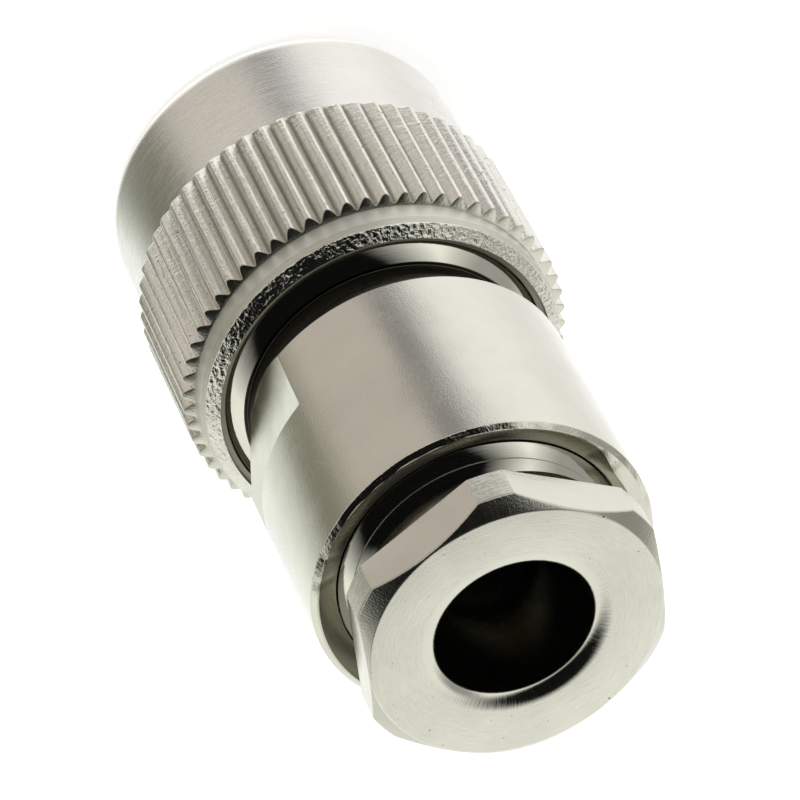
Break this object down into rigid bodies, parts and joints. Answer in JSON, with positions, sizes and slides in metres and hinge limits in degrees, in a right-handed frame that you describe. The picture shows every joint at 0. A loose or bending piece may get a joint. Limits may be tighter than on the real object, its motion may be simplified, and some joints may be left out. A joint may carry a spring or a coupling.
{
  "type": "coaxial connector",
  "caption": "Threaded coaxial cable plug: a knurled coupling nut turns freely on a flatted body, and a hex nut in its rear end clamps the cable.",
  "frame": {"origin": "on the axis, in the plane of the coupling nut's front rim, which the plug stands on", "axes": "+Z along the axis from the mating end to the cable end, +X square to a wrench flat of the body"},
  "size_m": [0.015, 0.015, 0.028],
  "materials": {
    "nickel_plate": "satin nickel plate on turned brass",
    "spring_steel": "plain spring wire",
    "silicone": "soft matte silicone",
    "ptfe": "turned white fluoroplastic",
    "gold_plate": "thin gold plate",
    "nitrile": "black moulded rubber"
  },
  "bodies": {
    "shell": {"body": "nickel_plate", "snap_ring": "spring_steel", "front_gasket": "silicone", "insulator": "ptfe", "contact_pin": "gold_plate", "rear_insulator": "ptfe", "braid_clamp": "nickel_plate", "cable_gasket": "nitrile"},
    "coupling": {"coupling_nut": "nickel_plate"},
    "clamp_carrier": {"clamp_washer": "nickel_plate"},
    "clamp": {"clamp_nut": "nickel_plate"}
  },
  "joints": [
    {"name": "coupling_nut_spin", "type": "hinge", "parent": "shell", "child": "coupling", "pos_m": [0, 0, 0.0065], "axis": [0, 0, 1], "continuous": true},
    {"name": "clamp_nut_advance", "type": "slide", "parent": "shell", "child": "clamp_carrier", "axis": [0, 0, 1], "range_m": [-0.0015, 0.00225]},
    {"name": "clamp_nut_turn", "type": "hinge", "parent": "clamp_carrier", "child": "clamp", "pos_m": [0, 0, 0.023], "axis": [0, 0, 1], "range_deg": [-720, 1080]}
  ],
  "couplings": [
    {"joint": "clamp_nut_advance", "follows": "clamp_nut_turn", "m_per_rad": 0.00011936}
  ]
}
